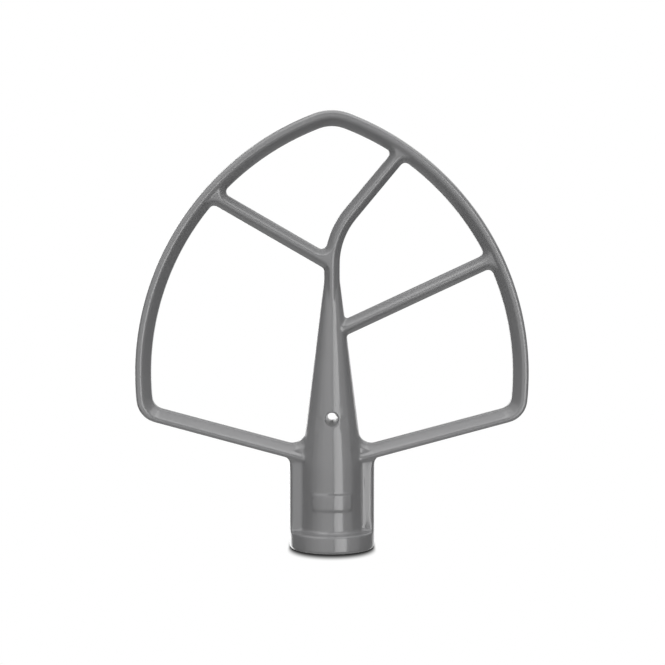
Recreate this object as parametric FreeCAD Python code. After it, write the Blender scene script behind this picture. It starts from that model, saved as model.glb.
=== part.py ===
"""Flat beater for a stand mixer: one die casting in coated aluminium.

The frame is a ring of two sides and two lower arms, with three braces in it. It stands
on the open mouth of its hub. X is across the beater, Y is its depth and +Z runs up the
bore's axis. The origin is the centre of the hub's mouth, and the plane Y = 0 is where
the two halves of the die part. Lengths are in millimetres and angles in degrees.
"""
import FreeCAD
import Part
import math
import os

# Sides and tip, in the parting plane
SIDE_RADIUS = 101.3
SIDE_CENTRE_X = 29.7
SIDE_CENTRE_Z = 63.8
TIP_RADIUS = 18.4
RIM_WIDTH = 5.85

# Lower arms
ARM_SLOPE = 15.1
ARM_FOOT_Z = 29.1
ARM_WIDTH = 5.3
SHOULDER_OUTER_RADIUS = 9.0
SHOULDER_INNER_RADIUS = 4.6
ARMPIT_RADIUS = 4.7
ARM_ROOT_RADIUS = 10.0

# Braces
BRACE_WIDTH = 5.5
LEFT_BRACE_SLOPE = 30.1
LEFT_BRACE_Z = 103.9
RIGHT_BRACE_SLOPE = 25.1
RIGHT_BRACE_Z = 78.6
UPPER_BRACE_SLOPE = 50.05
UPPER_BRACE_Z = 114.3
UPPER_BRACE_BEND = 28.7
NECK_WIDTH = 5.75
CORNER_RADIUS = 1.8

# Section of every bar
HALF_DEPTH = 5.1
LAND = 1.45
DRAFT = 3.0
BEVEL = 42.0
NOSE_OUTER_CHAMFER = 0.75
NOSE_INNER_CHAMFER = 0.35
RIDGE_RADIUS = 1.0
RIDGE_FLAT = 0.06

# How far the ring alone stands inside the windows, so that the braces join it cleanly
SEAM = 0.01

# Hub
COLLAR_RADIUS = 15.5
COLLAR_HEIGHT = 6.6
COLLAR_FOOT_CHAMFER = 0.7
HUB_EDGE_CHAMFER = 0.5
HUB_HOLLOW_RADIUS = 1.2
BARREL_RADIUS = 11.35
BARREL_TOP_Z = 31.0
CONE_HALF_ANGLE = 7.15
CONE_BLEND = 30.0
CONE_TIP_RADIUS = 2.2
WEB_HALF_DEPTH = 3.8
WEB_OVERLAP = 0.3
WEB_REACH = 6.0
GUSSET_RADIUS = 3.5

# Pad on the front of the barrel
PAD_WIDTH = 14.7
PAD_HEIGHT = 6.0
PAD_Z = 18.2
PAD_RISE = 0.45
PAD_CORNER_RADIUS = 0.9
PAD_EDGE_CHAMFER = 0.25

# Bore, with the slot and the turning recess for the drive shaft's pin
BORE_RADIUS = 6.4
BORE_DEPTH = 44.0
BORE_END_CHAMFER = 1.5
BORE_MOUTH_CHAMFER = 0.6
PIN_SLOT_WIDTH = 5.4
PIN_SLOT_REACH = 9.6
PIN_SLOT_DEPTH = 15.5
PIN_TURN = 35.0

# Cross hole through the cone
CROSS_HOLE_Z = 48.4
CROSS_HOLE_WAIST = 1.45
CROSS_HOLE_MOUTH = 2.5

# Where the frame's windows leave the cone's flank for the neck, inside the cone
FLANK_SINK = 0.15
STEP_HEIGHT = 14.0
STEP_ANGLE = 60.0

# How far a cutting shape runs past what it cuts
CLEAR = 1.0

# How far from an edge its sides are probed, and the least turn in radians that makes it one
PROBE = 0.02
SHARP = 0.15

# How near two places must be to count as one
TOUCH = 1e-5


class Straight:
    """A straight side of an outline, which lies to the left of its direction."""

    def __init__(self, x, z, degrees):
        angle = math.radians(degrees)
        self.x = x
        self.z = z
        self.along = (math.cos(angle), math.sin(angle))
        self.out = (self.along[1], -self.along[0])

    def outward(self, x, z):
        return self.out


class Round:
    """A round side of an outline, bulging out of it or hollowed into it."""

    def __init__(self, x, z, radius, hollow=False):
        self.x = x
        self.z = z
        self.radius = radius
        self.sense = -1 if hollow else 1

    def outward(self, x, z):
        reach = math.hypot(x - self.x, z - self.z)
        return (self.sense * (x - self.x) / reach, self.sense * (z - self.z) / reach)


def straights_meet(a, b, inset):
    """The point that lies at the same inset from two straight sides."""
    ax, az = a.x - a.out[0] * inset, a.z - a.out[1] * inset
    bx, bz = b.x - b.out[0] * inset, b.z - b.out[1] * inset
    cross = a.along[0] * b.along[1] - a.along[1] * b.along[0]
    t = ((bx - ax) * b.along[1] - (bz - az) * b.along[0]) / cross
    return ax + a.along[0] * t, az + a.along[1] * t


def straight_meets_round(straight, ring, inset, far):
    """The near or the far point at the same inset from a straight and a round side."""
    px = straight.x - straight.out[0] * inset - ring.x
    pz = straight.z - straight.out[1] * inset - ring.z
    reach = ring.radius - ring.sense * inset
    middle = -(px * straight.along[0] + pz * straight.along[1])
    half = math.sqrt(middle ** 2 - px ** 2 - pz ** 2 + reach ** 2)
    t = middle + half if far else middle - half
    return straight.x - straight.out[0] * inset + straight.along[0] * t, \
        straight.z - straight.out[1] * inset + straight.along[1] * t


def corner_centre(a, b, radius):
    """The centre of the arc that rounds the corner from side a to side b."""
    if isinstance(a, Straight) and isinstance(b, Straight):
        return straights_meet(a, b, radius)
    if isinstance(a, Straight):
        return straight_meets_round(a, b, radius, far=b.sense > 0)
    return straight_meets_round(b, a, radius, far=a.sense < 0)


def smooth_joint(a, b):
    """The point where two sides already run into each other."""
    ring = a if isinstance(a, Round) else b
    other = b if ring is a else a
    if isinstance(other, Straight):
        return ring.x + ring.sense * other.out[0] * ring.radius, \
            ring.z + ring.sense * other.out[1] * ring.radius
    larger, smaller = (a, b) if a.radius > b.radius else (b, a)
    nx, nz = larger.outward(smaller.x, smaller.z)
    return larger.x + nx * larger.radius, larger.z + nz * larger.radius


class Outline:
    """A closed outline, anticlockwise from the front, with a rounding at each corner.

    sides lists (side, rounding), where rounding is the radius of the corner after the
    side, 0 where the next side runs on smoothly, and None where the corner is sharp.
    """

    def __init__(self, sides):
        self.sides = [side for side, rounding in sides]
        self.corners = []
        for index, (side, rounding) in enumerate(sides):
            following = sides[(index + 1) % len(sides)][0]
            self.corners.append(self.corner(side, following, rounding))

    def corner(self, side, following, rounding):
        """Centre, radius and the outward directions at the two ends of a corner."""
        if rounding is None:
            x, z = straights_meet(side, following, 0)
            a, b = side.out, following.out
            share = 1 + a[0] * b[0] + a[1] * b[1]
            way = ((a[0] + b[0]) / share, (a[1] + b[1]) / share)
            return x, z, 0, way, None
        if rounding == 0:
            x, z = smooth_joint(side, following)
            return x, z, 0, side.outward(x, z), None
        x, z = corner_centre(side, following, rounding)
        return x, z, rounding, side.outward(x, z), following.outward(x, z)

    def wire(self, grow, y):
        """The outline grown outwards, at depth y."""
        ends = []
        for x, z, radius, start, end in self.corners:
            reach = radius + grow
            first = FreeCAD.Vector(x + start[0] * reach, y, z + start[1] * reach)
            if end is None:
                ends.append((first, first))
            else:
                ends.append((first, FreeCAD.Vector(x + end[0] * reach, y, z + end[1] * reach)))
        edges = []
        for index, side in enumerate(self.sides):
            start = ends[index - 1][1]
            stop = ends[index][0]
            if isinstance(side, Straight):
                edges.append(Part.makeLine(start, stop))
            else:
                edges.append(arc_about(side.x, side.z, start, stop, side.sense))
            x, z, radius, way, end = self.corners[index]
            if end is not None:
                edges.append(arc_about(x, z, stop, ends[index][1], 1))
        return Part.Wire(edges)


def arc_about(x, z, start, stop, sense):
    """The shorter arc about a centre, in the plane of its two ends."""
    centre = FreeCAD.Vector(x, start.y, z)
    middle = (start - centre) + (stop - centre)
    middle.normalize()
    middle.multiply((start - centre).Length)
    return Part.Arc(start, centre + middle, stop).toShape()


def rounded_profile(corners):
    """A closed wire in the XZ plane through (x, z, rounding) corners, anticlockwise."""
    sides = []
    for index, (x, z, rounding) in enumerate(corners):
        nx, nz, following = corners[(index + 1) % len(corners)]
        degrees = math.degrees(math.atan2(nz - z, nx - x))
        sides.append((Straight(x, z, degrees), following))
    return sides


def bar_edges(centre_z, slope, width):
    """How far above and below a sloping centreline its bar's edges cross the Z axis."""
    half = width / 2 / math.cos(math.radians(slope))
    return centre_z + half, centre_z - half


def cone_radius(z):
    """The cone's radius at a height."""
    return BARREL_RADIUS - (z - BARREL_TOP_Z) * math.tan(math.radians(CONE_HALF_ANGLE))


def outer_outline():
    """The outside of the frame; its two lower edges meet inside the hub."""
    right_arm = Straight(0, ARM_FOOT_Z, ARM_SLOPE)
    left_arm = Straight(0, ARM_FOOT_Z, -ARM_SLOPE)
    right_side = Round(-SIDE_CENTRE_X, SIDE_CENTRE_Z, SIDE_RADIUS)
    left_side = Round(SIDE_CENTRE_X, SIDE_CENTRE_Z, SIDE_RADIUS)
    tip = Round(0, tip_centre_z(), TIP_RADIUS)
    return Outline([
        (right_arm, SHOULDER_OUTER_RADIUS),
        (right_side, 0),
        (tip, 0),
        (left_side, SHOULDER_OUTER_RADIUS),
        (left_arm, ARM_ROOT_RADIUS),
    ])


def tip_centre_z():
    """The height at which the tip's arc runs smoothly into both sides."""
    return SIDE_CENTRE_Z + math.sqrt((SIDE_RADIUS - TIP_RADIUS) ** 2 - SIDE_CENTRE_X ** 2)


def window_outlines():
    """The four openings of the frame."""
    left_top_z, left_low_z = bar_edges(LEFT_BRACE_Z, LEFT_BRACE_SLOPE, BRACE_WIDTH)
    right_top_z, right_low_z = bar_edges(RIGHT_BRACE_Z, RIGHT_BRACE_SLOPE, BRACE_WIDTH)
    upper_left_z, upper_right_z = bar_edges(UPPER_BRACE_Z, UPPER_BRACE_SLOPE, BRACE_WIDTH)
    half_neck = NECK_WIDTH / 2
    right_side, tip, left_side = rim_inside()
    bend_x = UPPER_BRACE_BEND
    turn = math.radians(90 - UPPER_BRACE_SLOPE)
    bend_z = UPPER_BRACE_Z - UPPER_BRACE_BEND * math.tan(turn / 2)
    bend_right = Round(bend_x, bend_z, UPPER_BRACE_BEND - half_neck)
    bend_left = Round(bend_x, bend_z, UPPER_BRACE_BEND + BRACE_WIDTH / 2, hollow=True)
    flank_x = BARREL_RADIUS - FLANK_SINK
    step_z = arm_top_z() + STEP_HEIGHT
    step_x = cone_radius(step_z) - FLANK_SINK
    left_window = Outline([
        (Straight(0, arm_top_z(), -ARM_SLOPE), ARMPIT_RADIUS),
        (Straight(-flank_x, BARREL_TOP_Z, 90 - CONE_HALF_ANGLE), None),
        (Straight(-step_x, step_z, STEP_ANGLE), None),
        (Straight(-half_neck, 0, 90), CORNER_RADIUS),
        (Straight(0, left_low_z, 180 - LEFT_BRACE_SLOPE), CORNER_RADIUS),
        (left_side, SHOULDER_INNER_RADIUS),
    ])
    right_window = Outline([
        (Straight(0, arm_top_z(), ARM_SLOPE), SHOULDER_INNER_RADIUS),
        (right_side, CORNER_RADIUS),
        (Straight(0, right_low_z, 180 + RIGHT_BRACE_SLOPE), CORNER_RADIUS),
        (Straight(half_neck, 0, -90), None),
        (Straight(step_x, step_z, -STEP_ANGLE), None),
        (Straight(flank_x, BARREL_TOP_Z, CONE_HALF_ANGLE - 90), ARMPIT_RADIUS),
    ])
    upper_window = Outline([
        (Straight(0, right_top_z, RIGHT_BRACE_SLOPE), CORNER_RADIUS),
        (right_side, CORNER_RADIUS),
        (Straight(0, upper_right_z, 180 + UPPER_BRACE_SLOPE), 0),
        (bend_right, 0),
        (Straight(half_neck, 0, -90), CORNER_RADIUS),
    ])
    top_window = Outline([
        (Straight(0, left_top_z, -LEFT_BRACE_SLOPE), CORNER_RADIUS),
        (bend_left, 0),
        (Straight(0, upper_left_z, UPPER_BRACE_SLOPE), CORNER_RADIUS),
        (right_side, 0),
        (tip, 0),
        (left_side, CORNER_RADIUS),
    ])
    return [left_window, right_window, upper_window, top_window]


def arm_top_z():
    """Where the upper edge of an arm would cross the centreline."""
    return ARM_FOOT_Z + ARM_WIDTH / math.cos(math.radians(ARM_SLOPE))


def rim_inside():
    """The inner arcs of the right side, the tip and the left side."""
    side_radius = SIDE_RADIUS - RIM_WIDTH
    right_side = Round(-SIDE_CENTRE_X, SIDE_CENTRE_Z, side_radius)
    left_side = Round(SIDE_CENTRE_X, SIDE_CENTRE_Z, side_radius)
    tip = Round(0, tip_centre_z(), TIP_RADIUS - RIM_WIDTH)
    return right_side, tip, left_side


def rim_inner_outline():
    """The inside of the ring, as if it held no braces, a hair inside the windows."""
    right_side, tip, left_side = rim_inside()
    return Outline([
        (Straight(0, arm_top_z(), ARM_SLOPE), SHOULDER_INNER_RADIUS),
        (right_side, 0),
        (tip, 0),
        (left_side, SHOULDER_INNER_RADIUS),
        (Straight(0, arm_top_z(), -ARM_SLOPE), ARM_ROOT_RADIUS),
    ])


def bevelled_opening(outline, depth, seam=0.0):
    """The tool that opens a window: a drafted land, then a bevel out to a depth."""
    draft = math.tan(math.radians(DRAFT))
    bevel = math.tan(math.radians(BEVEL))
    deep = depth + CLEAR
    grow = LAND * draft
    return Part.makeLoft([
        outline.wire(-CLEAR * draft - seam, CLEAR),
        outline.wire(grow - seam, -LAND),
        outline.wire(grow - seam + (deep - LAND) * bevel, -deep),
    ], True, True)


def drafted_blank(depth):
    """Everything within the outer outline, from the parting plane to a depth."""
    outer = outer_outline()
    return Part.makeLoft([
        outer.wire(0, 0),
        outer.wire(-depth * math.tan(math.radians(DRAFT)), -depth),
    ], True, True)


def cap_face(solid, depth):
    """The flat face at a depth."""
    faces = [face for face in solid.Faces if abs(face.CenterOfMass.y + depth) < TOUCH]
    return max(faces, key=lambda face: face.Area)


def brace_depth():
    """The depth at which a brace's two bevels leave room for its rounded ridge."""
    half_ridge = RIDGE_RADIUS * math.tan(math.radians(90 - BEVEL) / 2) + RIDGE_FLAT / 2
    rise = (BRACE_WIDTH / 2 - LAND * math.tan(math.radians(DRAFT)) - half_ridge)
    return LAND + rise / math.tan(math.radians(BEVEL))


def front_braces():
    """The braces and neck in front of the parting plane, with rounded ridges."""
    depth = brace_depth()
    box = drafted_blank(depth).BoundBox
    plate = Part.makeBox(
        box.XLength + 2 * CLEAR, depth, box.ZLength + 2 * CLEAR,
        FreeCAD.Vector(box.XMin - CLEAR, -depth, box.ZMin - CLEAR))
    for window in window_outlines():
        plate = plate.cut(bevelled_opening(window, depth))
    cap = cap_face(plate, depth)
    ridges = [edge for wire in cap.Wires if not wire.isSame(cap.OuterWire) for edge in wire.Edges]
    plate = plate.makeFillet(RIDGE_RADIUS, ridges)
    return plate.common(drafted_blank(depth))


def front_ring():
    """The rim and arms in front of the parting plane, with their narrow nose."""
    ring = drafted_blank(HALF_DEPTH).cut(
        bevelled_opening(rim_inner_outline(), HALF_DEPTH, seam=SEAM))
    ring = ring.makeChamfer(NOSE_OUTER_CHAMFER, cap_face(ring, HALF_DEPTH).OuterWire.Edges)
    cap = cap_face(ring, HALF_DEPTH)
    inner = [edge for wire in cap.Wires if not wire.isSame(cap.OuterWire) for edge in wire.Edges]
    return ring.makeChamfer(NOSE_INNER_CHAMFER, inner)


def turned_hub():
    """Collar, barrel and cone, turned about the bore's axis."""
    taper = math.tan(math.radians(CONE_HALF_ANGLE))
    tip_z = BARREL_TOP_Z + (BARREL_RADIUS - CONE_TIP_RADIUS) / taper
    profile = rounded_profile([
        (0, 0, None),
        (COLLAR_RADIUS - COLLAR_FOOT_CHAMFER, 0, None),
        (COLLAR_RADIUS, COLLAR_FOOT_CHAMFER, None),
        (COLLAR_RADIUS, COLLAR_HEIGHT, None),
        (BARREL_RADIUS, COLLAR_HEIGHT, None),
        (BARREL_RADIUS, BARREL_TOP_Z, CONE_BLEND),
        (CONE_TIP_RADIUS, tip_z, None),
        (0, tip_z, None),
    ])
    face = Part.Face(Outline(profile).wire(0, 0))
    return face.revolve(FreeCAD.Vector(0, 0, 0), FreeCAD.Vector(0, 0, 1), 360)


def web_outline():
    """Half the webs' outline: up the collar's side, then a hollow run out into the arm."""
    low = ARM_FOOT_Z + WEB_OVERLAP
    high = low + ARM_WIDTH / 2
    x = COLLAR_RADIUS + GUSSET_RADIUS
    slope = math.radians(ARM_SLOPE)
    z = low + x * math.tan(slope) - GUSSET_RADIUS / math.cos(slope)
    gusset = Round(x, z, GUSSET_RADIUS, hollow=True)
    return Outline([
        (Straight(0, COLLAR_HEIGHT / 2, 0), None),
        (Straight(COLLAR_RADIUS, 0, 90), 0),
        (gusset, 0),
        (Straight(0, low, ARM_SLOPE), None),
        (Straight(COLLAR_RADIUS + WEB_REACH, 0, 90), None),
        (Straight(0, high, 180 + ARM_SLOPE), None),
        (Straight(0, 0, -90), None),
    ])


def webs():
    """The two ribs that carry the arms down to the collar, flush with its side."""
    face = Part.Face(web_outline().wire(0, 0))
    turned = face.revolve(FreeCAD.Vector(0, 0, 0), FreeCAD.Vector(0, 0, 1), 360)
    box = turned.BoundBox
    slab = Part.makeBox(
        box.XLength, 2 * WEB_HALF_DEPTH, box.ZLength + 2 * CLEAR,
        FreeCAD.Vector(box.XMin, -WEB_HALF_DEPTH, box.ZMin - CLEAR))
    return turned.common(slab)


def hub():
    """The turned hub and its webs, with hollow fillets and then the outer chamfer."""
    solid = turned_hub().fuse(webs()).removeSplitter()
    solid = solid.makeFillet(HUB_HOLLOW_RADIUS, inward_edges(solid))
    return solid.makeChamfer(HUB_EDGE_CHAMFER, outer_edges(solid))


def outer_edges(solid):
    """The run of edges over the collar's top, up the webs and out along the gussets."""
    found = []
    for edge in solid.Edges:
        faces = solid.ancestorsOfType(edge, Part.Face)
        sides = [face for face in faces if is_outer_side(face)]
        if len(sides) == 1 and edge.BoundBox.ZMin > COLLAR_HEIGHT - PROBE:
            found.append(edge)
    return found


def is_outer_side(face):
    """Whether a face of the hub is the collar's side or one of the gussets."""
    surface = face.Surface
    if isinstance(surface, Part.Cylinder):
        return abs(surface.Radius - COLLAR_RADIUS) < PROBE
    return isinstance(surface, Part.Toroid) and abs(surface.MinorRadius - GUSSET_RADIUS) < PROBE


def inward_edges(solid):
    """The edges along which a solid bends inwards, where a casting has a fillet."""
    found = []
    for edge in solid.Edges:
        faces = solid.ancestorsOfType(edge, Part.Face)
        if len(faces) != 2:
            continue
        point = edge.valueAt((edge.FirstParameter + edge.LastParameter) / 2)
        normals = [face.normalAt(*face.Surface.parameter(point)) for face in faces]
        if normals[0].getAngle(normals[1]) < SHARP:
            continue
        across = (normals[0] - normals[1]).normalize()
        if solid.isInside(point + across * PROBE, TOUCH, False):
            found.append(edge)
    return found


def pad():
    """The plain raised panel on the front of the barrel."""
    panel = Part.makeBox(
        PAD_WIDTH, COLLAR_RADIUS, PAD_HEIGHT,
        FreeCAD.Vector(-PAD_WIDTH / 2, -COLLAR_RADIUS, PAD_Z - PAD_HEIGHT / 2))
    panel = panel.makeFillet(PAD_CORNER_RADIUS, [edge for edge in panel.Edges if runs_deep(edge)])
    panel = panel.common(Part.makeCylinder(BARREL_RADIUS + PAD_RISE, BARREL_TOP_Z))
    face = max(panel.Faces, key=lambda item: -item.CenterOfMass.y)
    return panel.makeChamfer(PAD_EDGE_CHAMFER, face.Edges)


def runs_deep(edge):
    """Whether an edge runs straight from front to back."""
    return edge.BoundBox.YLength > edge.Length - PROBE


def sector(radius, half_angle, middle_angle, foot, height):
    """A slice of a disc about the bore's axis, centred on an angle from +X."""
    slice_ = Part.makeCylinder(
        radius, height, FreeCAD.Vector(0, 0, foot), FreeCAD.Vector(0, 0, 1), 2 * half_angle)
    slice_.rotate(FreeCAD.Vector(0, 0, 0), FreeCAD.Vector(0, 0, 1), middle_angle - half_angle)
    return slice_


def bore():
    """The blind bore, its pin slot from the mouth and the recess the pin turns into."""
    void = Part.makeCylinder(BORE_RADIUS, BORE_DEPTH + CLEAR, FreeCAD.Vector(0, 0, -CLEAR))
    end = Part.makeCone(
        BORE_RADIUS, BORE_RADIUS - BORE_END_CHAMFER, BORE_END_CHAMFER,
        FreeCAD.Vector(0, 0, BORE_DEPTH))
    mouth_radius = BORE_RADIUS + BORE_MOUTH_CHAMFER
    mouth = Part.makeCone(
        mouth_radius + CLEAR, BORE_RADIUS, BORE_MOUTH_CHAMFER + CLEAR,
        FreeCAD.Vector(0, 0, -CLEAR))
    slot = Part.makeBox(
        PIN_SLOT_REACH, PIN_SLOT_WIDTH, PIN_SLOT_DEPTH + CLEAR,
        FreeCAD.Vector(0, -PIN_SLOT_WIDTH / 2, -CLEAR))
    slot = slot.common(Part.makeCylinder(
        PIN_SLOT_REACH, PIN_SLOT_DEPTH + 2 * CLEAR, FreeCAD.Vector(0, 0, -CLEAR)))
    half_slot = math.degrees(math.asin(PIN_SLOT_WIDTH / 2 / PIN_SLOT_REACH))
    turn = sector(PIN_SLOT_REACH, (PIN_TURN + half_slot) / 2, (PIN_TURN + half_slot) / 2,
                  PIN_SLOT_DEPTH - PIN_SLOT_WIDTH, PIN_SLOT_WIDTH)
    return void.fuse([end, mouth, slot, turn]).removeSplitter()


def cross_hole():
    """The hole from front to back through the cone, drafted from its waist."""
    reach = cone_radius(CROSS_HOLE_Z) + CLEAR
    grow = (CROSS_HOLE_MOUTH - CROSS_HOLE_WAIST) * CLEAR / (reach - CLEAR)
    centre = FreeCAD.Vector(0, 0, CROSS_HOLE_Z)
    front = Part.makeCone(
        CROSS_HOLE_WAIST, CROSS_HOLE_MOUTH + grow, reach, centre, FreeCAD.Vector(0, -1, 0))
    back = Part.makeCone(
        CROSS_HOLE_WAIST, CROSS_HOLE_MOUTH + grow, reach, centre, FreeCAD.Vector(0, 1, 0))
    return front.fuse(back)


def flat_beater():
    """The whole casting."""
    half = front_braces().fuse(front_ring())
    back = half.mirror(FreeCAD.Vector(0, 0, 0), FreeCAD.Vector(0, 1, 0))
    solid = hub().fuse([pad(), half, back])
    solid = solid.cut(bore())
    solid = solid.cut(cross_hole())
    return solid.removeSplitter()


def main():
    os.makedirs("parts", exist_ok=True)
    flat_beater().exportStep("parts/flat_beater.step")


main()
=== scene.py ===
"""Dresses the beater's casting and stands it on a plain white table under studio light.

The casting is die-cast aluminium with a baked satin coat, seen from in front and a
little above. Lengths are metres, written as millimetres times MM where they are small.
Only the lens and its sensor are in millimetres, as Blender's camera takes them. Angles
are degrees.
"""
import math

import bmesh
import bpy
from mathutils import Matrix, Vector


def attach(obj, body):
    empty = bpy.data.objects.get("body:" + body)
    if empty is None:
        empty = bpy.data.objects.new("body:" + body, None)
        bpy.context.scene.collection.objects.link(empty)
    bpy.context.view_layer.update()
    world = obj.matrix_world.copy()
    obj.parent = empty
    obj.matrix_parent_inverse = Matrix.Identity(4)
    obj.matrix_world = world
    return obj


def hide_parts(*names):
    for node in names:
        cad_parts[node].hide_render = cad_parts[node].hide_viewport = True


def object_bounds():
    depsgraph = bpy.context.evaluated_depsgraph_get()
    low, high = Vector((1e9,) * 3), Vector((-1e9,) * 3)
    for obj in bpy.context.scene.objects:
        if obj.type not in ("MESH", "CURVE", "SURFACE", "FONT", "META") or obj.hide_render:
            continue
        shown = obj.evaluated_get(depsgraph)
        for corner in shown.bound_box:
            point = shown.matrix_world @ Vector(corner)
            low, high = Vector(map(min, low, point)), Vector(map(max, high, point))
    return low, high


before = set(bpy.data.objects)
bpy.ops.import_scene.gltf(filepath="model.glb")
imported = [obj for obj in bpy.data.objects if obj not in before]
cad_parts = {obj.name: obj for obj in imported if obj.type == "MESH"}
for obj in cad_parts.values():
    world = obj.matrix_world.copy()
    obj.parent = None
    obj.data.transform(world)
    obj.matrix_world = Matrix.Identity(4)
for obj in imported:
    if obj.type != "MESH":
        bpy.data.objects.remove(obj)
CAD_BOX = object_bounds()

bl_info = {
    "name": "Flat Beater Finish",
    "version": (1, 0, 0),
    "blender": (4, 5, 0),
    "location": "View3D > Sidebar > Beater",
    "description": "Coats a cast mixer beater and sets it on a lit table",
    "category": "Object",
}

NODE = "flat_beater"
BODY = "root"
MM = 0.001
WHITE = "#ffffff"

# How near two corners of the casting's loose triangles must be to be one
MERGE_DISTANCE = 0.001 * MM

# Passes that even out the surface once it is thinned, and how far each one goes
EVEN_PASSES = 8
EVEN_SHARE = 0.5

# Where the webs lie, outside the barrel and between collar and arms, and how softly that
# zone ends
WEB_INSIDE = 8.5 * MM
WEB_LOW = 8.5 * MM
WEB_HIGH = 29 * MM
WEB_BLEND = 3 * MM

# The collar is as deep as the whole casting, and its foot is chamfered
COLLAR_FOOT_CHAMFER = 0.7 * MM
FOOT_RADIUS = CAD_BOX[1][1] - COLLAR_FOOT_CHAMFER

# Refraction of the enamel's pigmented body and of its clear gloss
BODY_IOR = 1.5
GLOSS_IOR = 1.6

# How high the coat's ripples and the casting's grain stand, and how much of that shows
PEEL_HEIGHT = 0.02 * MM
PEEL_STRENGTH = 0.1
GRAIN_HEIGHT = 0.01 * MM
GRAIN_STRENGTH = 0.15

TABLE_HALF_SIDE = 3.0
TABLE_ROUGHNESS = 0.5
SENSOR_WIDTH_MM = 36.0
NEAREST_SEEN = 10 * MM

# Soft boxes stand on a sphere round a point near the casting's middle. Each has its
# name, its azimuth from the camera's side towards the right, its elevation, its width
# and height as angles, and its brightness. The one below the table shows only in the
# coat's gloss, on faces that look down.
LAMP_DISTANCE = 2.0
LAMP_AIM = 80 * MM
SOFT_BOXES = (
    ("strip_inner", 16, -5, 15, 44, 3.0),
    ("strip_outer", 32, -5, 17, 44, 3.5),
    ("front_left", -16, -5, 40, 44, 1.05),
    ("fade_left", -46, -5, 20, 40, 0.75),
    ("far_left", -66, -5, 20, 40, 0.35),
    ("fade_right", 60, -5, 40, 40, 0.5),
    ("key_left", -38, 30, 40, 26, 1.5),
    ("side_left", -80, 27, 36, 24, 0.7),
    ("top_left", -60, 58, 60, 30, 1.4),
    ("top_right", 60, 58, 60, 30, 1.6),
    ("top", 0, 88, 50, 50, 1.2),
    ("top_back", 180, 60, 60, 40, 0.4),
    ("underside", 0, -75, 100, 90, 0.65),
    ("back_strip", -156, -5, 30, 44, 2.0),
    ("back_fill", 164, -5, 40, 44, 0.7),
    ("back_key", 142, 30, 40, 26, 0.7),
)


def linear(hex_colour):
    """An sRGB hex colour as a linear colour with alpha, by the curve of that standard."""
    parts = [int(hex_colour[i:i + 2], 16) / 255 for i in (1, 3, 5)]
    return tuple(p / 12.92 if p <= 0.04045 else ((p + 0.055) / 1.055) ** 2.4 for p in parts) + (1.0,)


def add_node(tree, kind, settings=None, inputs=None, links=None):
    """Adds a node, sets its fields and sockets, and links other nodes' outputs into it."""
    node = tree.nodes.new(kind)
    for name, value in (settings or {}).items():
        setattr(node, name, value)
    for name, value in (inputs or {}).items():
        node.inputs[name].default_value = value
    for name, source in (links or {}).items():
        tree.links.new(source, node.inputs[name])
    return node


class BeaterCasting(bpy.types.PropertyGroup):
    """The coat on the casting."""

    colour: bpy.props.StringProperty(
        name="Coat", description="Colour of the baked coat, as sRGB hex", default="#7d7d7e")
    thin_colour: bpy.props.StringProperty(
        name="Thin coat", description="Colour where the coat lies a little thinner, as sRGB hex",
        default="#787879")
    patch: bpy.props.FloatProperty(
        name="Patches", description="Width of the patches where the coat is thinner or thicker",
        default=14 * MM, min=1 * MM, unit="LENGTH")
    roughness: bpy.props.FloatProperty(
        name="Body roughness", description="Roughness of the pigment under the gloss",
        default=0.5, min=0.0, max=1.0, subtype="FACTOR")
    gloss_roughness: bpy.props.FloatProperty(
        name="Gloss roughness", description="Roughness of the coat's surface",
        default=0.16, min=0.0, max=1.0, subtype="FACTOR")
    peel: bpy.props.FloatProperty(
        name="Orange peel", description="Width of the coat's ripples",
        default=0.9 * MM, min=0.1 * MM, unit="LENGTH")
    grain: bpy.props.FloatProperty(
        name="Cast grain", description="Width of the casting's grain under the coat",
        default=0.22 * MM, min=0.05 * MM, unit="LENGTH")
    cell: bpy.props.FloatProperty(
        name="Cell", description="Side of the cells that the surface is rebuilt on",
        default=0.2 * MM, min=0.15 * MM, unit="LENGTH")
    hollow: bpy.props.FloatProperty(
        name="Hollow fillet", description="Radius of the fillets in inward corners",
        default=0.7 * MM, min=0.0, unit="LENGTH")
    web_hollow: bpy.props.FloatProperty(
        name="Web fillet", description="Radius of the fillets round the hub's webs",
        default=1.1 * MM, min=0.0, unit="LENGTH")
    soften_passes: bpy.props.IntProperty(
        name="Softening", description="Passes that round every edge", default=2, min=0, max=20)
    web_passes: bpy.props.IntProperty(
        name="Web softening", description="Passes that round the edges of the hub's webs",
        default=90, min=1, max=200)
    triangles: bpy.props.IntProperty(
        name="Triangles", description="Triangles in the finished surface", default=190000,
        min=20000, max=199000)


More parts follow.
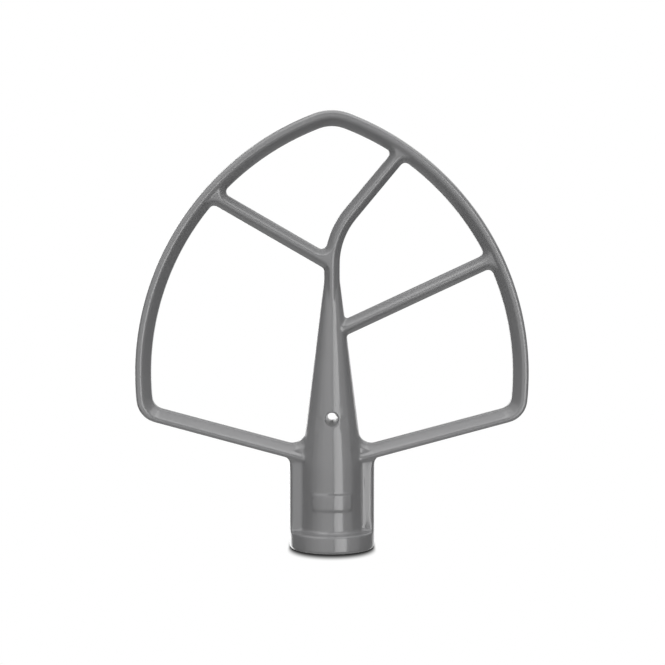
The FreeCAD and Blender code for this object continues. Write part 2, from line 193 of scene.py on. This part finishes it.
class BeaterStage(bpy.types.PropertyGroup):
    """Camera, lamps and table."""

    camera_place: bpy.props.FloatVectorProperty(
        name="Camera", description="Where the camera stands",
        default=(0.22 * MM, -860 * MM, 167 * MM), subtype="TRANSLATION", unit="LENGTH")
    camera_aim: bpy.props.FloatVectorProperty(
        name="Aim", description="What the camera looks at",
        default=(0.22 * MM, 0.0, 79.06 * MM), subtype="TRANSLATION", unit="LENGTH")
    lens: bpy.props.FloatProperty(
        name="Focal length", description="Focal length on a frame 36 mm wide",
        default=128.81, min=20.0, max=300.0, unit="CAMERA")
    table_colour: bpy.props.StringProperty(
        name="Table", description="Colour of the table as the casting sees it, as sRGB hex",
        default="#6e6e6e")
    # The foot's shadow set below is painted into what the lens sees of the table, not cast by the
    # lamps
    shadow_aside: bpy.props.FloatProperty(
        name="Shadow aside", description="How far the foot's shadow spreads to its sides",
        default=1.5 * MM, min=0.1 * MM, unit="LENGTH")
    shadow_ahead: bpy.props.FloatProperty(
        name="Shadow ahead", description="How far the foot's shadow spreads ahead and behind",
        default=12 * MM, min=0.1 * MM, unit="LENGTH")
    shadow_depth: bpy.props.FloatProperty(
        name="Shadow depth", description="How quickly the foot's shadow darkens",
        default=1.4, min=0.2, max=8.0)
    shadow_floor: bpy.props.FloatProperty(
        name="Shadow floor", description="How bright the shadow's darkest place still is",
        default=0.06, min=0.0, max=1.0, subtype="FACTOR")
    room_light: bpy.props.FloatProperty(
        name="Room", description="Brightness of the room round the lamps",
        default=0.2, min=0.0, max=2.0)


def coat_material(look):
    """Baked satin enamel on die-cast aluminium: a soft grey body under a clear, faintly
    rippled gloss, with the casting's fine grain just showing through."""
    material = bpy.data.materials.new("baked_satin_enamel_on_die_cast_aluminium")
    material.use_nodes = True
    tree = material.node_tree
    tree.nodes.clear()
    place = add_node(tree, "ShaderNodeTexCoord").outputs["Object"]
    patches = add_node(
        tree, "ShaderNodeTexNoise",
        inputs={"Scale": 1 / look.patch, "Detail": 3.0, "Roughness": 0.5},
        links={"Vector": place})
    tone = add_node(
        tree, "ShaderNodeMix", {"data_type": "RGBA"}, links={"Factor": patches.outputs["Fac"]})
    tone.inputs["A"].default_value = linear(look.thin_colour)
    tone.inputs["B"].default_value = linear(look.colour)
    peel = add_node(
        tree, "ShaderNodeTexNoise",
        inputs={"Scale": 1 / look.peel, "Detail": 1.0, "Roughness": 0.4},
        links={"Vector": place})
    grain = add_node(
        tree, "ShaderNodeTexNoise",
        inputs={"Scale": 1 / look.grain, "Detail": 2.0, "Roughness": 0.6},
        links={"Vector": place})
    rippled = add_node(
        tree, "ShaderNodeBump", inputs={"Strength": PEEL_STRENGTH, "Distance": PEEL_HEIGHT},
        links={"Height": peel.outputs["Fac"]})
    grained = add_node(
        tree, "ShaderNodeBump", inputs={"Strength": GRAIN_STRENGTH, "Distance": GRAIN_HEIGHT},
        links={"Height": grain.outputs["Fac"], "Normal": rippled.outputs["Normal"]})
    enamel = add_node(
        tree, "ShaderNodeBsdfPrincipled",
        inputs={"Metallic": 0.0, "Roughness": look.roughness, "IOR": BODY_IOR,
                "Coat Weight": 1.0, "Coat Roughness": look.gloss_roughness,
                "Coat IOR": GLOSS_IOR},
        links={"Base Color": tone.outputs["Result"], "Normal": grained.outputs["Normal"],
               "Coat Normal": rippled.outputs["Normal"]})
    add_node(tree, "ShaderNodeOutputMaterial", links={"Surface": enamel.outputs["BSDF"]})
    return material


def table_material(look):
    """Matt white acrylic: the lens sees plain white with a painted shadow round the foot, set by
    the distance from the foot rather than cast by the lamps, and the casting sees a dull grey."""
    material = bpy.data.materials.new("matt_white_acrylic_sheet")
    material.use_nodes = True
    tree = material.node_tree
    tree.nodes.clear()
    place = add_node(tree, "ShaderNodeTexCoord").outputs["Object"]
    reach = add_node(tree, "ShaderNodeVectorMath", {"operation": "LENGTH"}, links={0: place})
    way = add_node(tree, "ShaderNodeVectorMath", {"operation": "NORMALIZE"}, links={0: place})
    split = add_node(tree, "ShaderNodeSeparateXYZ", links={"Vector": way.outputs["Vector"]})

    # 0 beside the foot and 1 straight ahead of it or behind it
    ahead = add_node(
        tree, "ShaderNodeMath", {"operation": "MULTIPLY"},
        links={0: split.outputs["Y"], 1: split.outputs["Y"]})
    edge = add_node(
        tree, "ShaderNodeMapRange",
        inputs={"To Min": FOOT_RADIUS + look.shadow_aside,
                "To Max": FOOT_RADIUS + look.shadow_ahead},
        links={"Value": ahead.outputs["Value"]})
    # A painted shadow, not cast by the lamps: darkest at the foot's edge, it brightens to white over
    # a short way beside the foot and a longer way ahead and behind
    light = add_node(
        tree, "ShaderNodeMapRange", {"interpolation_type": "SMOOTHSTEP"},
        {"From Min": FOOT_RADIUS, "To Min": look.shadow_floor},
        {"Value": reach.outputs["Value"], "From Max": edge.outputs["Result"]})
    painted_shade = add_node(
        tree, "ShaderNodeMath", {"operation": "POWER"}, {1: look.shadow_depth},
        {0: light.outputs["Result"]})
    seen = add_node(
        tree, "ShaderNodeEmission", inputs={"Color": linear(WHITE)},
        links={"Strength": painted_shade.outputs["Value"]})
    sheet = add_node(
        tree, "ShaderNodeBsdfDiffuse",
        inputs={"Color": linear(look.table_colour), "Roughness": TABLE_ROUGHNESS})
    ray = add_node(tree, "ShaderNodeLightPath")
    mix = add_node(
        tree, "ShaderNodeMixShader",
        links={0: ray.outputs["Is Camera Ray"], 1: sheet.outputs["BSDF"],
               2: seen.outputs["Emission"]})
    add_node(tree, "ShaderNodeOutputMaterial", links={"Surface": mix.outputs["Shader"]})
    return material


def start_tree(name, inputs):
    """A Geometry Nodes tree with a geometry input and output and other named inputs."""
    tree = bpy.data.node_groups.new(name, "GeometryNodeTree")
    tree.interface.new_socket("Geometry", in_out="INPUT", socket_type="NodeSocketGeometry")
    for label, kind in inputs.items():
        tree.interface.new_socket(label, in_out="INPUT", socket_type=kind)
    tree.interface.new_socket("Geometry", in_out="OUTPUT", socket_type="NodeSocketGeometry")
    return tree


def end_tree(tree, geometry, material):
    """Ends a tree with real geometry that has its material."""
    real = add_node(tree, "GeometryNodeRealizeInstances", links={"Geometry": geometry})
    coated = add_node(
        tree, "GeometryNodeSetMaterial",
        links={"Geometry": real.outputs["Geometry"], "Material": material})
    add_node(tree, "NodeGroupOutput", links={"Geometry": coated.outputs["Geometry"]})


def rise(tree, value, start, end):
    """A field that runs smoothly from 0 where a value is start to 1 where it is end."""
    return add_node(
        tree, "ShaderNodeMapRange", {"interpolation_type": "SMOOTHSTEP"},
        {"From Min": start, "From Max": end}, {"Value": value}).outputs["Result"]


def mixed(tree, elsewhere, on_webs):
    """A field that is one value on the webs and another elsewhere."""
    place = add_node(tree, "GeometryNodeInputPosition")
    split = add_node(tree, "ShaderNodeSeparateXYZ", links={"Vector": place.outputs["Position"]})
    aside = add_node(
        tree, "ShaderNodeMath", {"operation": "ABSOLUTE"}, links={0: split.outputs["X"]})
    beside = rise(tree, aside.outputs["Value"], WEB_INSIDE, WEB_INSIDE + WEB_BLEND)
    above = rise(tree, split.outputs["Z"], WEB_LOW, WEB_LOW + WEB_BLEND)
    below = rise(tree, split.outputs["Z"], WEB_HIGH + WEB_BLEND, WEB_HIGH)
    zone = add_node(
        tree, "ShaderNodeMath", {"operation": "MULTIPLY"}, links={0: beside, 1: above})
    web = add_node(
        tree, "ShaderNodeMath", {"operation": "MULTIPLY"},
        links={0: zone.outputs["Value"], 1: below})
    blend = add_node(
        tree, "ShaderNodeMapRange",
        links={"Value": web.outputs["Value"], "To Min": elsewhere, "To Max": on_webs})
    return blend.outputs["Result"]


def push_tree():
    """Moves a surface along its normals, by one distance on the webs and another elsewhere."""
    tree = start_tree("push_surface", {
        "Distance": "NodeSocketFloat", "Web distance": "NodeSocketFloat",
        "Material": "NodeSocketMaterial"})
    given = add_node(tree, "NodeGroupInput")
    reach = mixed(tree, given.outputs["Distance"], given.outputs["Web distance"])
    normal = add_node(tree, "GeometryNodeInputNormal")
    offset = add_node(
        tree, "ShaderNodeVectorMath", {"operation": "SCALE"},
        links={"Vector": normal.outputs["Normal"], "Scale": reach})
    moved = add_node(
        tree, "GeometryNodeSetPosition",
        links={"Geometry": given.outputs["Geometry"], "Offset": offset.outputs["Vector"]})
    end_tree(tree, moved.outputs["Geometry"], given.outputs["Material"])
    return tree


def soften_tree():
    """Blurs a surface's points, by one share on the webs and another elsewhere, and
    shades it smooth."""
    tree = start_tree("soften_surface", {
        "Passes": "NodeSocketInt", "Share": "NodeSocketFloat", "Web share": "NodeSocketFloat",
        "Material": "NodeSocketMaterial"})
    given = add_node(tree, "NodeGroupInput")
    place = add_node(tree, "GeometryNodeInputPosition")
    weight = mixed(tree, given.outputs["Share"], given.outputs["Web share"])
    blur = add_node(
        tree, "GeometryNodeBlurAttribute", {"data_type": "FLOAT_VECTOR"},
        links={"Value": place.outputs["Position"], "Iterations": given.outputs["Passes"],
               "Weight": weight})
    moved = add_node(
        tree, "GeometryNodeSetPosition",
        links={"Geometry": given.outputs["Geometry"], "Position": blur.outputs["Value"]})
    smooth = add_node(
        tree, "GeometryNodeSetShadeSmooth", links={"Geometry": moved.outputs["Geometry"]})
    end_tree(tree, smooth.outputs["Geometry"], given.outputs["Material"])
    return tree


def add_tree(piece, tree, values):
    """Adds a Geometry Nodes modifier and sets its inputs by their identifiers."""
    step = piece.modifiers.new(tree.name, "NODES")
    step.node_group = tree
    for item in tree.interface.items_tree:
        if item.item_type == "SOCKET" and item.in_out == "INPUT" and item.name in values:
            step[item.identifier] = values[item.name]


def add_rebuild(piece, cell):
    """Rebuilds a surface on a grid of cells, which drops whatever has come to lie inside."""
    step = piece.modifiers.new("rebuild", "REMESH")
    step.mode = "VOXEL"
    step.voxel_size = cell


def add_thinning(piece, triangles):
    """Thins a surface to a number of triangles and evens out what that leaves rough."""
    present = sum(len(face.vertices) - 2 for face in piece.data.polygons)
    thin = piece.modifiers.new("thin", "DECIMATE")
    thin.ratio = min(1.0, triangles / present)
    even = piece.modifiers.new("even", "SMOOTH")
    even.factor = EVEN_SHARE
    even.iterations = EVEN_PASSES


def merged_copy(source, name):
    """A copy of a node's mesh with its loose triangles joined."""
    mesh = source.data.copy()
    work = bmesh.new()
    work.from_mesh(mesh)
    bmesh.ops.remove_doubles(work, verts=work.verts, dist=MERGE_DISTANCE)
    work.to_mesh(mesh)
    work.free()
    piece = bpy.data.objects.new(name, mesh)
    bpy.context.scene.collection.objects.link(piece)
    return piece


def bake(piece):
    """Turns a piece's modifiers into its mesh."""
    graph = bpy.context.evaluated_depsgraph_get()
    mesh = bpy.data.meshes.new_from_object(piece.evaluated_get(graph))
    piece.modifiers.clear()
    piece.data = mesh


class BEATER_OT_casting(bpy.types.Operator):
    """Rounds the casting's edges as the mould and the coat do, and coats it"""

    bl_idname = "beater.casting"
    bl_label = "Casting"

    def execute(self, context):
        look = context.scene.beater_casting
        material = coat_material(look)
        casting = merged_copy(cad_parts[NODE], "coated_casting")

        # Pushed out and back in, the surface closes its inward corners into fillets
        push = push_tree()
        add_rebuild(casting, look.cell)
        for way in (1, -1):
            add_tree(casting, push, {
                "Distance": way * look.hollow, "Web distance": way * look.web_hollow,
                "Material": material})
            add_rebuild(casting, look.cell)

        add_tree(casting, soften_tree(), {
            "Passes": look.web_passes, "Share": look.soften_passes / look.web_passes,
            "Web share": 1.0, "Material": material})
        bake(casting)
        add_thinning(casting, look.triangles)
        bake(casting)
        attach(casting, BODY)
        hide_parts(NODE)
        return {"FINISHED"}


def add_table(scene, look):
    """A square sheet that the casting stands on. The coat's gloss doesn't show it, and
    shows the lamp below it instead."""
    half = TABLE_HALF_SIDE
    mesh = bpy.data.meshes.new("table")
    corners = [(-half, -half, 0), (half, -half, 0), (half, half, 0), (-half, half, 0)]
    mesh.from_pydata(corners, [], [(0, 1, 2, 3)])
    mesh.materials.append(table_material(look))
    table = bpy.data.objects.new("table", mesh)
    table.visible_glossy = False
    scene.collection.objects.link(table)


def add_room(scene, look):
    """Surroundings that the lens sees as white and that light the casting only faintly."""
    world = bpy.data.worlds.new("white_room")
    world.use_nodes = True
    tree = world.node_tree
    tree.nodes.clear()
    room = add_node(
        tree, "ShaderNodeBackground",
        inputs={"Color": linear(WHITE), "Strength": look.room_light})
    backdrop = add_node(
        tree, "ShaderNodeBackground", inputs={"Color": linear(WHITE), "Strength": 1.0})
    ray = add_node(tree, "ShaderNodeLightPath")
    mix = add_node(
        tree, "ShaderNodeMixShader",
        links={0: ray.outputs["Is Camera Ray"], 1: room.outputs["Background"],
               2: backdrop.outputs["Background"]})
    add_node(tree, "ShaderNodeOutputWorld", links={"Surface": mix.outputs["Shader"]})
    scene.world = world


def add_soft_box(scene, name, azimuth, elevation, across, up, brightness):
    """A soft box that faces the casting, as large and as bright from there as given."""
    a = math.radians(azimuth)
    e = math.radians(elevation)
    centre = Vector((0, 0, LAMP_AIM))
    place = centre + LAMP_DISTANCE * Vector(
        (math.sin(a) * math.cos(e), -math.cos(a) * math.cos(e), math.sin(e)))
    lamp = bpy.data.lights.new(name, "AREA")
    lamp.shape = "RECTANGLE"
    lamp.size = 2 * LAMP_DISTANCE * math.tan(math.radians(across / 2))
    lamp.size_y = 2 * LAMP_DISTANCE * math.tan(math.radians(up / 2))
    lamp.energy = brightness * math.pi * lamp.size * lamp.size_y
    holder = bpy.data.objects.new(name, lamp)
    holder.location = place
    holder.rotation_euler = (centre - place).to_track_quat("-Z", "Y").to_euler()
    holder.visible_camera = False
    scene.collection.objects.link(holder)


def add_camera(scene, look):
    """A long lens in front of the casting, a little above it."""
    place = Vector(look.camera_place)
    aim = Vector(look.camera_aim)
    camera = bpy.data.objects.new("camera", bpy.data.cameras.new("camera"))
    camera.data.lens = look.lens
    camera.data.sensor_width = SENSOR_WIDTH_MM
    camera.data.clip_start = NEAREST_SEEN
    camera.location = place
    camera.rotation_euler = (aim - place).to_track_quat("-Z", "Y").to_euler()
    scene.collection.objects.link(camera)
    scene.camera = camera


class BEATER_OT_stage(bpy.types.Operator):
    """Adds the table, the white surroundings, the lamps and the camera"""

    bl_idname = "beater.stage"
    bl_label = "Stage"

    def execute(self, context):
        scene = context.scene
        look = scene.beater_stage
        scene.view_settings.view_transform = "Standard"
        add_table(scene, look)
        add_room(scene, look)
        for box in SOFT_BOXES:
            add_soft_box(scene, *box)
        add_camera(scene, look)
        return {"FINISHED"}


class BEATER_PT_panel(bpy.types.Panel):
    """Lists the beater's settings and the steps that finish it"""

    bl_label = "Flat Beater"
    bl_idname = "BEATER_PT_panel"
    bl_space_type = "VIEW_3D"
    bl_region_type = "UI"
    bl_category = "Beater"

    def draw(self, context):
        layout = self.layout
        scene = context.scene
        for group, step in ((scene.beater_casting, BEATER_OT_casting),
                            (scene.beater_stage, BEATER_OT_stage)):
            box = layout.box()
            for name in group.__annotations__:
                box.prop(group, name)
            box.operator(step.bl_idname)


CLASSES = (BeaterCasting, BeaterStage, BEATER_OT_casting, BEATER_OT_stage, BEATER_PT_panel)


def register():
    for item in CLASSES:
        bpy.utils.register_class(item)
    bpy.types.Scene.beater_casting = bpy.props.PointerProperty(type=BeaterCasting)
    bpy.types.Scene.beater_stage = bpy.props.PointerProperty(type=BeaterStage)


def unregister():
    del bpy.types.Scene.beater_stage
    del bpy.types.Scene.beater_casting
    for item in reversed(CLASSES):
        bpy.utils.unregister_class(item)


def main():
    register()
    bpy.ops.beater.casting()
    bpy.ops.beater.stage()


if __name__ == "__main__":
    main()
